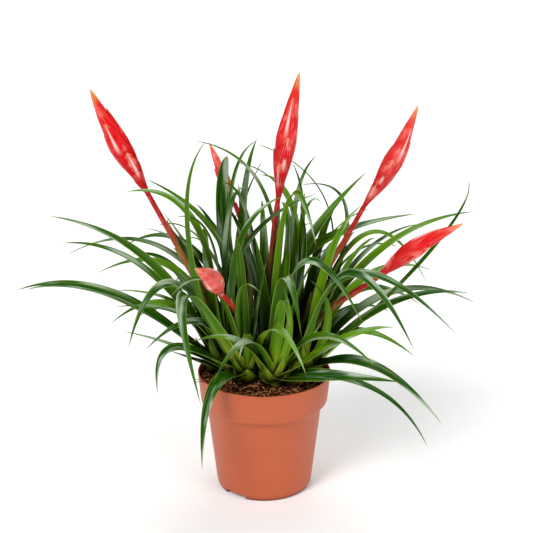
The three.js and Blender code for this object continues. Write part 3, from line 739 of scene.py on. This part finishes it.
# ---- potting mix ----
def soil_top(x, y):
    """The part's own surface of the potting mix: a low mound with soft bumps."""
    share = np.hypot(x, y) / (POT.rim_radius - POT.wall)
    bumps = np.sin(0.33 * x + 1) * np.cos(0.29 * y) + 0.6 * np.sin(0.61 * y - 0.47 * x)
    return SOIL.rim_z + SOIL.mound * (1 - share * share) + SOIL.bump * bumps / 1.6


def crumbly(x, y):
    """A finer relief on the potting mix, of waves in directions drawn at random."""
    height = np.zeros_like(x)
    draw = np.random.default_rng(RELIEF_SEED)
    for apart, high in RELIEF_BUMPS:
        for _ in range(RELIEF_WAVES):
            turn, phase = draw.uniform(0, 2 * math.pi, 2)
            run = x * math.cos(turn) + y * math.sin(turn)
            height += high * np.sin(2 * math.pi / apart * run + phase)
    return height


def make_soil():
    inset = POT.wall + GAP
    plate_wall = POT.plate_radius - POT.plate_inset - GAP
    groove_top = POT.groove_height + inset
    rim_share = (SOIL.rim_z - POT.band_foot_z) / (POT.height - POT.band_foot_z)
    edge = mix(POT.band_foot_radius, POT.rim_radius, rim_share) - inset
    side = [
        (0, inset),
        (plate_wall, inset),
        (plate_wall + POT.groove_slope, groove_top),
        (POT.foot_radius - inset, groove_top),
        (POT.body_foot_radius - inset, POT.body_foot_z),
        (POT.body_top_radius - inset, POT.body_top_z),
        (POT.band_foot_radius - inset, POT.band_foot_z),
    ]
    top = [(r, SOIL.rim_z) for r in np.linspace(edge, 0, SOIL_RINGS)]
    skin = Skin("tint")
    skin.lathe(np.array(side + top), SOIL_SIDES)
    points = skin.points[0]
    upper = points[:, 2] > SOIL.rim_z - 1
    x, y = points[upper, 0], points[upper, 1]
    relief = crumbly(x, y)
    points[upper, 2] = soil_top(x, y) + relief
    tint = np.full(len(points), SOIL_TINT.side)
    tint[upper] = np.clip(SOIL_TINT.top + SOIL_TINT.relief * relief, 0, SOIL_TINT.most)
    skin.values["tint"] = [tint]
    look = soil_look()
    soil = skin.make("potting_mix", look, "potting_mix", "soil", sharp=180)
    hole, foot = CROWN.stem_radius + GAP, CROWN.foot_z - GAP
    cut(soil, [drill(rosette.at, hole, foot, POT.height + CUT_PAST) for rosette in ROSETTES])
    make_crumbs(look, edge)


def free_spot(draw, edge, margin):
    """A place on the potting mix that far inside its edge and clear of the crowns."""
    while True:
        x, y = draw.uniform(-edge, edge, 2)
        if math.hypot(x, y) > edge - margin:
            continue
        if min(math.hypot(x - r.at[0], y - r.at[1]) for r in ROSETTES) > CROWN_ROOM + margin:
            return x, y


def shard(draw, kind):
    """A small angular crumb, an uneven octahedron turned at random: its corners and faces."""
    size = draw.uniform(kind.smallest, kind.largest)
    corners = np.repeat(np.eye(3), 2, axis=0) * column([1, -1] * 3)
    corners = corners * size * draw.uniform(*CRUMB_UNEVEN, (6, 1))
    corners = corners + draw.normal(0, CRUMB_JITTER, (6, 3)) * min(size)
    upper = [[0, 2, 4], [2, 1, 4], [1, 3, 4], [3, 0, 4]]
    lower = [[b, a, 5] for a, b, _ in upper]
    turn, _ = np.linalg.qr(draw.normal(0, 1, (3, 3)))
    if np.linalg.det(turn) < 0:
        turn[:, 0] *= -1
    turn[2] *= kind.flatness
    return corners @ turn.T, upper + lower


def fibre(draw, edge):
    """A thin bowed strand that lies on the potting mix, as rings of points."""
    x, y = free_spot(draw, edge, FIBRE.margin)
    turn = draw.uniform(0, 2 * math.pi)
    length = draw.uniform(*FIBRE.length)
    t = np.linspace(-0.5, 0.5, FIBRE_STATIONS)
    arch = 1 - 4 * t * t
    bow = draw.uniform(*FIBRE.bow) * length * arch / 4
    x = x + length * t * math.cos(turn) + bow * math.sin(turn)
    y = y + length * t * math.sin(turn) - bow * math.cos(turn)
    inside = np.minimum(1, (edge - 1) / np.hypot(x, y))
    x, y = x * inside, y * inside
    z = soil_top(x, y) + FIBRE.level + draw.uniform(*FIBRE.arch) * arch
    radius = draw.uniform(*FIBRE.radius) * (1 - 1.2 * t * t)
    return tube(np.stack([x, y, z], axis=-1), radius, FIBRE_SIDES)


def rim_fibre(bearing, inner, outer, droop):
    """A strand that hangs out over the rim, as rings of points."""
    t = np.linspace(0, 1, FIBRE_STATIONS)
    turn = math.radians(bearing) - RIM_FIBRE.veer * t
    reach = mix(inner, outer, t)
    root, end = SOIL.rim_z + RIM_FIBRE.root_over_soil, POT.height + RIM_FIBRE.end_over_rim
    path = np.stack([reach * np.cos(turn), reach * np.sin(turn), mix(root, end, t) - droop * t**3], axis=-1)
    return tube(path, RIM_FIBRE.radius * (1 - 0.5 * t), FIBRE_SIDES)


def make_crumbs(look, edge):
    """Bark chips, crumbs and coir fibres that lie on the potting mix."""
    draw = np.random.default_rng(CRUMB_SEED)
    skin = Skin("tint")
    for kind in (CHIP, CRUMB):
        for _ in range(kind.count):
            corners, faces = shard(draw, kind)
            x, y = free_spot(draw, edge, CRUMB_MARGIN)
            level = soil_top(x, y) + crumbly(vec(x), vec(y))[0] + draw.uniform(*CRUMB_LEVEL)
            skin.add(corners + vec(x, y, level), faces, tint=draw.uniform(*kind.shade))
    for _ in range(FIBRE.count):
        skin.loft(fibre(draw, edge), tint=draw.uniform(*FIBRE.shade))
    for strand in RIM_FIBRES:
        skin.loft(rim_fibre(*strand), tint=RIM_FIBRE.shade)
    skin.make("soil_crumbs", look, "potting_mix", sharp=30)


# ---- leaves ----
def make_leaf(rosette, crest, tip, width):
    """A leaf of the part: its root, crest and tip, its width and how it turns."""
    centre = vec(*rosette.at, 0)
    outward = (crest - centre) * (1, 1, 0)
    reach = np.linalg.norm(outward)
    low, high = LEAF_ROOT.low_crest, LEAF_ROOT.high_crest
    steep = np.clip((crest[2] - low) / (high - low), 0, 1)
    upright = steep * np.clip(1 - reach / LEAF_ROOT.far_reach, 0, 1)
    root = centre + outward / reach * (LEAF_ROOT.radius - LEAF_ROOT.draw * upright)
    root[2] = LEAF_ROOT.z + LEAF_ROOT.climb * upright
    across = unit((tip - root) * (1, 1, 0))
    side = vec(-across[1], across[0], 0)
    turned = 1 if crest[1] < LEAF_ROLL.back_y else -1
    roll = LEAF_ROLL.angle * turned * side[1]
    return Values(root=root, crest=crest, tip=tip, width=LEAF_BROADER * width, side=side, roll=roll)


def leaf_plan(rosette, number):
    """Every leaf that the part's source plans for a rosette, as crest, tip and width."""
    plan = [(vec(*leaf[:3]), vec(*leaf[3:6]), leaf[6]) for leaf in rosette.leaves]
    draws = drawn(FILL_SEED + number)
    low, high, count = rosette.fill
    for i in range(count):
        turn = FILL_TURNS[i % len(FILL_TURNS)]
        scatter = FILL_SCATTER.bearing * (next(draws) - 0.5)
        bearing = math.radians(mix(low, high, (i + 0.5) / count) + scatter)
        reach = turn.reach * (1 + FILL_SCATTER.reach * (next(draws) - 0.5))
        height = FILL_SCATTER.height * (next(draws) - 0.5)
        out = heading(bearing) * reach
        at = vec(*rosette.at, height)
        crest = at + FILL_CREST * out + vec(0, 0, turn.crest_z)
        plan.append((crest, at + out + vec(0, 0, turn.tip_z), turn.width))
    return plan


def grown_leaves(rosette, number):
    """The leaves as the part holds them: each planned one, bent the way its tip shows."""
    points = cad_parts["rosette_" + rosette.name].data.vertices
    tree = kdtree.KDTree(len(points))
    for i, point in enumerate(points):
        tree.insert(point.co, i)
    tree.balance()
    leaves = []
    for crest, tip, width in leaf_plan(rosette, number):
        side = make_leaf(rosette, crest, tip, width).side
        for swings, lifts in BENDS:
            lift = vec(0, 0, lifts * BEND_STEP.lift)
            end = tip + side * swings * BEND_STEP.tip_swing + lift
            if tree.find(Vector(end * MM))[2] < TIP_FOUND_WITHIN * MM:
                arch = crest + side * swings * BEND_STEP.crest_swing + lift
                leaves.append(make_leaf(rosette, arch, end, width))
                break
    return leaves


def full_width(leaf, t):
    """Half the width of a full leaf: a broad clasping base, and a blade that narrows sooner on a
    short leaf than on a long one."""
    length = np.linalg.norm(leaf.crest - leaf.root) + np.linalg.norm(leaf.tip - leaf.crest)
    longer = np.clip((length - LEAF_TAPER.short) / (LEAF_TAPER.long - LEAF_TAPER.short), 0, 1)
    even = mix(LEAF_TAPER.short_power, LEAF_TAPER.long_power, longer)
    blade = (1 - t**even) ** LEAF_TAPER.power
    if leaf.blunt:
        blade = BLUNT.share * (1 - t ** BLUNT.even) ** BLUNT.power
    base = LEAF_BASE.extra * np.exp(-((t / LEAF_BASE.run) ** 2))
    return LEAF_FULLNESS * leaf.width / 2 * (blade + base)


def base_width(leaf, t):
    return leaf.width / 2 * (1 - t ** BASE_LEAF.even) ** BASE_LEAF.power


def add_leaf(skin, leaf, half_width, kind, tint, dry_from=DRY_FROM):
    """A channelled blade with a thin edge, clasping at its foot."""
    t = column(np.linspace(0, 1, kind.stations + 1)[:-1])
    root, tip = leaf.root, leaf.tip
    control = 2 * leaf.crest - (root + tip) / 2
    centre = (1 - t) ** 2 * root + 2 * t * (1 - t) * control + t * t * tip
    along = unit((1 - t) * (control - root) + t * (tip - control))
    side = unit(leaf.side - column(along @ leaf.side) * along)
    roll = leaf.roll * np.clip(t / LEAF_ROLL.full, 0, 1)
    side = side * np.cos(roll) + np.cross(along, side) * np.sin(roll)
    up = np.cross(along, side)
    half = half_width(leaf, t)
    s = np.linspace(1, -1, LEAF_ACROSS)
    channel = LEAF_CHANNEL.depth + kind.clasp * np.exp(-((t / LEAF_CHANNEL.clasp_run) ** 2))
    rise = half * channel * np.abs(s) ** LEAF_CHANNEL.curve
    thinned = 1 - LEAF_EDGE.thinned * np.abs(s) ** LEAF_EDGE.power
    body = mix(*LEAF_THICKNESS, t) / 2 * thinned
    middle = centre[:, None] + side[:, None] * (half * s)[..., None]
    upper = middle + up[:, None] * (rise + body)[..., None]
    lower = middle + up[:, None] * (rise - body)[..., None]
    both = np.concatenate([s, s[::-1]])
    faces_down = np.repeat([0.0, 1.0], LEAF_ACROSS)
    skin.loft(
        np.concatenate([upper, lower[:, ::-1]], axis=1), tip,
        along=(kind.colours * t, kind.colours),
        across=(both * half, 0),
        edge=(np.abs(both), 0.5),
        under=(faces_down, 0.5),
        dry=(DRY_MOST * smooth(dry_from, 1, t), 1),
        tint=tint,
    )


def base_leaves(rosette, number, draw):
    """Short, broad leaves that clasp the crown, shorter towards a neighbouring crown."""
    centre = vec(*rosette.at, 0)
    others = [vec(*other.at, 0) - centre for other in ROSETTES if other is not rosette]
    kind, scatter = BASE_LEAF, BASE_SCATTER
    for i in range(kind.count):
        inner = i / (kind.count - 1)
        bearing = GOLDEN * i + number
        out = heading(bearing)
        ahead = [other @ other / max(other @ out, 1) - kind.room for other in others if other @ out > 0]
        reach = draw.uniform(*scatter.reach) * min([mix(*kind.reach, inner)] + ahead)
        root = centre + out * mix(*kind.root_radius, inner) + vec(0, 0, mix(*kind.root_z, inner))
        tip_z = draw.uniform(*scatter.rise) + mix(*kind.tip_z, inner)
        tip = centre + out * max(reach, kind.least_reach) + vec(0, 0, tip_z)
        crest = (root + tip) / 2 + out * draw.uniform(*scatter.bulge)
        width = draw.uniform(*scatter.width) * mix(*kind.width, inner)
        side = vec(-out[1], out[0], 0)
        yield Values(root=root, crest=crest, tip=tip, width=width, side=side, roll=0)


def make_rosette(rosette, number, look):
    """A crown with its full leaves and the short ones round it."""
    name = rosette.name
    skin = Skin("along", "across", "edge", "under", "tint", "dry")
    profile = [  # a little slimmer and lower than the solid's crown, as more leaves cover it
        ((0, CROWN.foot_z), 0),
        ((CROWN.stem_radius, CROWN.foot_z), 0.6),
        ((CROWN.stem_radius, CROWN.waist_z), 1.5),
        ((CROWN.dome_radius - 1.5, CROWN.dome_z), 4),
        ((CROWN.dome_radius - 5, mix(CROWN.dome_z, CROWN.top_z, 0.4)), 5),
        ((0, CROWN.top_z - 8), 0),
    ]
    skin.lathe(rounded(*zip(*profile)), CROWN_SIDES, along=0.02, edge=0.5, tint=0.2)
    skin.points[-1] += vec(*rosette.at, 0)
    draw = np.random.default_rng(LEAF_SEED + number)
    tints, widths, drier = (table.get(name, {}) for table in (LEAF_TINTS, LEAF_WIDTHS, DRIER_LEAVES))
    for i, leaf in enumerate(grown_leaves(rosette, number)):
        tint = draw.uniform(0, 1)
        leaf.blunt = (name, i) == BLUNT.leaf
        if leaf.blunt:
            leaf.roll = BLUNT.roll
        leaf.width *= widths.get(i, 1)
        add_leaf(skin, leaf, full_width, FULL_LEAF, tints.get(i, tint), drier.get(i, DRY_FROM))
    for leaf in base_leaves(rosette, number, draw):
        add_leaf(skin, leaf, base_width, BASE_LEAF, draw.uniform(*BASE_SCATTER.tint))
    skin.make("leaves_" + name, look, "leaf", "rosette_" + name)


# ---- spikes ----
def scape_path(rosette, t):
    """Points of the flower stem, and its direction."""
    foot, neck = vec(*rosette.at, SCAPE.foot_z), vec(*rosette.spike.neck)
    lean = unit(vec(*rosette.spike.tip) - neck)
    a, b, c, d = foot, foot + vec(0, 0, SCAPE.rise), neck - lean * SCAPE.rise, neck
    t = column(np.atleast_1d(t))
    s = 1 - t
    points = s**3 * a + 3 * s * s * t * b + 3 * s * t * t * c + t**3 * d
    along = unit(s * s * (b - a) + 2 * s * t * (c - b) + t * t * (d - c))
    return points, along


def scape_radius(t):
    return STEM.slimness * mix(SCAPE.radius, SCAPE.neck_radius, t)


def make_scape(rosette, look):
    """A stem with small pointed sheaths that clasp it on one side and then the other."""
    skin = Skin("along", "own", "around")
    t = np.linspace(0, 1, STEM.stations)
    points, _ = scape_path(rosette, t)
    stem = tube(points, scape_radius(t), STEM.sides)
    skin.loft(stem, along=column(t), around=np.sin(circle(STEM.sides)))
    length = np.linalg.norm(np.diff(points, axis=0), axis=1).sum()
    for number in range(SHEATHING.count):
        add_sheath(skin, rosette, number, SHEATHING.length / length)
    skin.make("stem_" + rosette.name, look, "scape", "scape_" + rosette.name)


def add_sheath(skin, rosette, number, share):
    """A sheath over that share of the stem, which stands off it towards its point."""
    start = SHEATHING.first + SHEATHING.spread * number / SHEATHING.count
    end = start + share
    q = np.linspace(0, 1, SHEATH.stations + 1)[:-1]
    middle, lean = scape_path(rosette, mix(start, end, q))
    side = unit(np.cross(vec(0, 1, 0), lean)) * (1 if number % 2 else -1)
    radius = scape_radius(start)
    swell = SHEATH.swell * SHEATHING.lift * np.sin(math.pi * np.clip(0.25 + q, 0, 0.5))
    grip = (radius + swell) * (1 - SHEATH.closed * smooth(SHEATH.closes_from, 1.0, q))
    middle = middle + side * column((radius + SHEATHING.flare) * q ** SHEATH.flare_power)
    last, _ = scape_path(rosette, end)
    skin.loft(
        middle[:, None] + grip[:, None, None] * spokes(side, np.cross(lean, side), STEM.sides),
        last[0] + side[-1] * (radius + SHEATHING.lift + SHEATHING.flare),
        along=(column(mix(start, end, q)), end),
        own=(column(q), 1),
        around=(np.sin(circle(STEM.sides)) + number, 0),
    )


def sword_outline(t):
    """The share of a sword's half width along it."""
    widest = SWORD.widest_at
    rise = np.sin(math.pi / 2 * np.clip(t / widest, 0, 1)) ** SWORD.foot_power
    fall = np.clip((1 - t) / (1 - widest), 0, 1) ** SWORD.tip_power
    return np.where(t < widest, mix(SWORD.foot, 1, rise), fall)


def make_sword(rosette, look):
    """A flat head of bracts, each over the foot of the next, round a plain core."""
    spike, looks = rosette.spike, SWORD_LOOKS[rosette.name]
    neck, tip = vec(*spike.neck), vec(*spike.tip)
    along = unit(tip - neck)
    wide = unit(np.cross(along, vec(*spike.faces)))
    deep = np.cross(along, wide)
    base, length = neck + along * GAP, np.linalg.norm(tip - neck) - GAP
    half = looks.slim * spike.width / 2 - SWORD_INSET

    def surface(t, angle, swell):
        """A point that far along and round the sword, raised by the swell."""
        outline = half * sword_outline(t)
        x = (outline + swell) * np.cos(angle) + spike.bow * np.sin(math.pi * t)
        y = (SWORD_DEPTH * outline + swell) * np.sin(angle)
        return base + along * (t * length)[..., None] + wide * x[..., None] + deep * y[..., None]

    skin = Skin("along", "own", "edge", "tint", "pink")
    t = column(np.linspace(0, SWORD_CORE.end, SWORD_CORE.stations))
    core = surface(t, circle(SWORD_CORE.sides)[None], -SWORD_CORE.sunk * sword_outline(t))
    core_tip = base + along * length * SWORD_CORE.tip
    skin.loft(core, core_tip, along=(t, 1), own=0.3, edge=0.5, pink=looks.pink)
    for number, (start, end) in enumerate(BRACTS):
        facing = math.radians(looks.facings[number])
        add_bract(skin, surface, number, start, end, facing, looks.pink)
    skin.make("bracts_" + rosette.name, look, "bract", "sword_" + rosette.name)


def add_bract(skin, surface, number, start, end, facing, pink):
    """One bract: a keeled shell that clasps the sword and ends in a point."""
    wrap = LAST_WRAP if end == 1 else BRACT_WRAP
    q = column(np.linspace(0, 1, BRACT.stations + 1)[:-1])
    s = np.linspace(-1, 1, BRACT.across)[None]
    reach = math.radians(wrap.degrees) * (1 - q ** wrap.taper) ** BRACT.power
    t = mix(start, end, q)
    slim = np.clip(BRACT_FIT.slope * sword_outline(t), BRACT_FIT.least, 1)
    swell = BRACT.rise * q - BRACT.sunk + BRACT.belly * np.sin(math.pi * q) * (1 - s * s)
    swell = swell + BRACT_KEEL.height * np.exp(-((s * reach / BRACT_KEEL.width) ** 2))
    swell = swell - BRACT.edge_in * np.abs(s) ** 6
    wall = mix(BRACT.wall, BRACT.edge_wall, np.abs(s) ** 4)
    outer = surface(t, facing + reach * s, swell * slim)
    inner = surface(t, facing + reach * s, (swell - wall) * slim)
    skin.loft(
        np.concatenate([outer, inner[:, ::-1]], axis=1),
        surface(vec(end), vec(facing), vec(wrap.point))[0],
        along=(t, end),
        own=(q, 1),
        edge=(np.abs(np.append(s, s[:, ::-1])), 0),
        tint=number * BRACT_TINT_STEP % 1,
        pink=pink,
    )


# ---- stage ----
def make_camera():
    data = bpy.data.cameras.new("camera")
    data.lens = CAMERA.lens
    data.sensor_width = CAMERA.sensor
    camera = put_in("camera", data)
    camera.location = CAMERA.at
    camera.rotation_euler = (math.radians(CAMERA.tilt), 0, 0)
    bpy.context.scene.camera = camera


def make_floor():
    mesh = bpy.data.meshes.new("floor")
    corners = [(x * FLOOR_HALF, y * FLOOR_HALF, 0) for x, y in ((-1, -1), (1, -1), (1, 1), (-1, 1))]
    mesh.from_pydata(corners, [], [(0, 1, 2, 3)])
    look = Look("floor", Emission_Color=(1, 1, 1, 1), Emission_Strength=FLOOR_GLOW)
    clouds = look.noise(look.place(), 1.5)
    look.finish(look.ramp(clouds, (0.3, "#fafafa"), (0.7, "#fcfcfc")), 0.9, clouds, 0.0)
    mesh.materials.append(look.material)
    floor = put_in("floor", mesh)


def make_light():
    """A sky that is white where the camera sees it and dim where it lights the plant, and three suns."""
    world = bpy.data.worlds.new("studio")
    world.use_nodes = True
    sky = world.node_tree.nodes["Background"]
    sky.inputs["Color"].default_value = (1, 1, 1, 1)
    seen = world.node_tree.nodes.new("ShaderNodeLightPath")
    level = world.node_tree.nodes.new("ShaderNodeMapRange")
    level.inputs["To Min"].default_value = SKY_LIGHT
    level.inputs["To Max"].default_value = SKY_SEEN
    world.node_tree.links.new(seen.outputs["Is Camera Ray"], level.inputs["Value"])
    world.node_tree.links.new(level.outputs["Result"], sky.inputs["Strength"])
    bpy.context.scene.world = world
    for name, at, angle, power in SUNS:
        data = bpy.data.lights.new(name, "SUN")
        data.angle = math.radians(angle)
        data.energy = power
        lamp = put_in(name, data)
        lamp.location = at
        lamp.rotation_euler = Vector(at).to_track_quat("Z", "Y").to_euler()


bpy.context.scene.view_settings.view_transform = "Standard"
make_camera()
make_floor()
make_light()
make_pot()
make_soil()
leaf, bract, scape = leaf_look(), sword_look(), scape_look()
for number, rosette in enumerate(ROSETTES):
    make_rosette(rosette, number, leaf)
    if rosette.spike:
        make_scape(rosette, scape)
        make_sword(rosette, bract)
